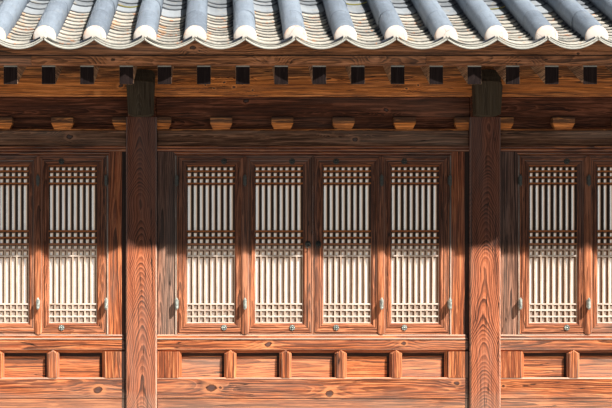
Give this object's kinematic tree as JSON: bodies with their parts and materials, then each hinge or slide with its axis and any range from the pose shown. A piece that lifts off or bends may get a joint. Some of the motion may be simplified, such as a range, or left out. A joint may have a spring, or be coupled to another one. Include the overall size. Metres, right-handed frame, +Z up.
{
  "type": "traditional timber house with a gabled tile roof",
  "caption": "Timber-framed house with folding lattice windows over a panelled sill, square eave rafters and a gabled roof of rib and channel tiles.",
  "frame": {"origin": "centre of the stone platform's underside, on the ground", "axes": "+X along the house, front towards -Y, +Z up"},
  "size_m": [8.5776, 5.134, 4.7328],
  "materials": {
    "stone": "rough",
    "timber": "matt",
    "dark_timber": "matt",
    "paper": "matt",
    "plaster": "matt",
    "tile": "matt"
  },
  "bodies": {
    "root": {"bargeboard_back_left": "timber", "bargeboard_back_right": "timber", "bargeboard_front_left": "timber", "bargeboard_front_right": "timber", "beam_1": "dark_timber", "beam_2": "dark_timber", "beam_3": "dark_timber", "beam_4": "dark_timber", "floor": "timber", "gable_panel_left": "plaster", "gable_panel_right": "plaster", "gable_wall_left": "plaster", "gable_wall_right": "plaster", "leaf_pair_back_1_left": "paper", "leaf_pair_back_1_right": "paper", "leaf_pair_back_2_left": "paper", "leaf_pair_back_2_right": "paper", "leaf_pair_back_3_left": "paper", "leaf_pair_back_3_right": "paper", "leaf_pair_front_1_left": "paper", "leaf_pair_front_1_right": "paper", "leaf_pair_front_2_left": "paper", "leaf_pair_front_2_right": "paper", "leaf_pair_front_3_left": "paper", "leaf_pair_front_3_right": "paper", "post_back_1": "timber", "post_back_2": "timber", "post_back_3": "timber", "post_back_4": "timber", "post_front_1": "timber", "post_front_2": "timber", "post_front_3": "timber", "post_front_4": "timber", "purlin_back": "timber", "purlin_front": "timber", "purlin_ridge": "timber", "rafters_back": "dark_timber", "rafters_front": "dark_timber", "ridges": "tile", "stone_platform": "stone", "tie_beam_back_1": "dark_timber", "tie_beam_back_2": "dark_timber", "tie_beam_back_3": "dark_timber", "tie_beam_front_1": "dark_timber", "tie_beam_front_2": "dark_timber", "tie_beam_front_3": "dark_timber", "tiles_back": "tile", "tiles_front": "tile", "window_frame_back_1": "timber", "window_frame_back_2": "timber", "window_frame_back_3": "timber", "window_frame_front_1": "timber", "window_frame_front_2": "timber", "window_frame_front_3": "timber"}
  },
  "joints": []
}
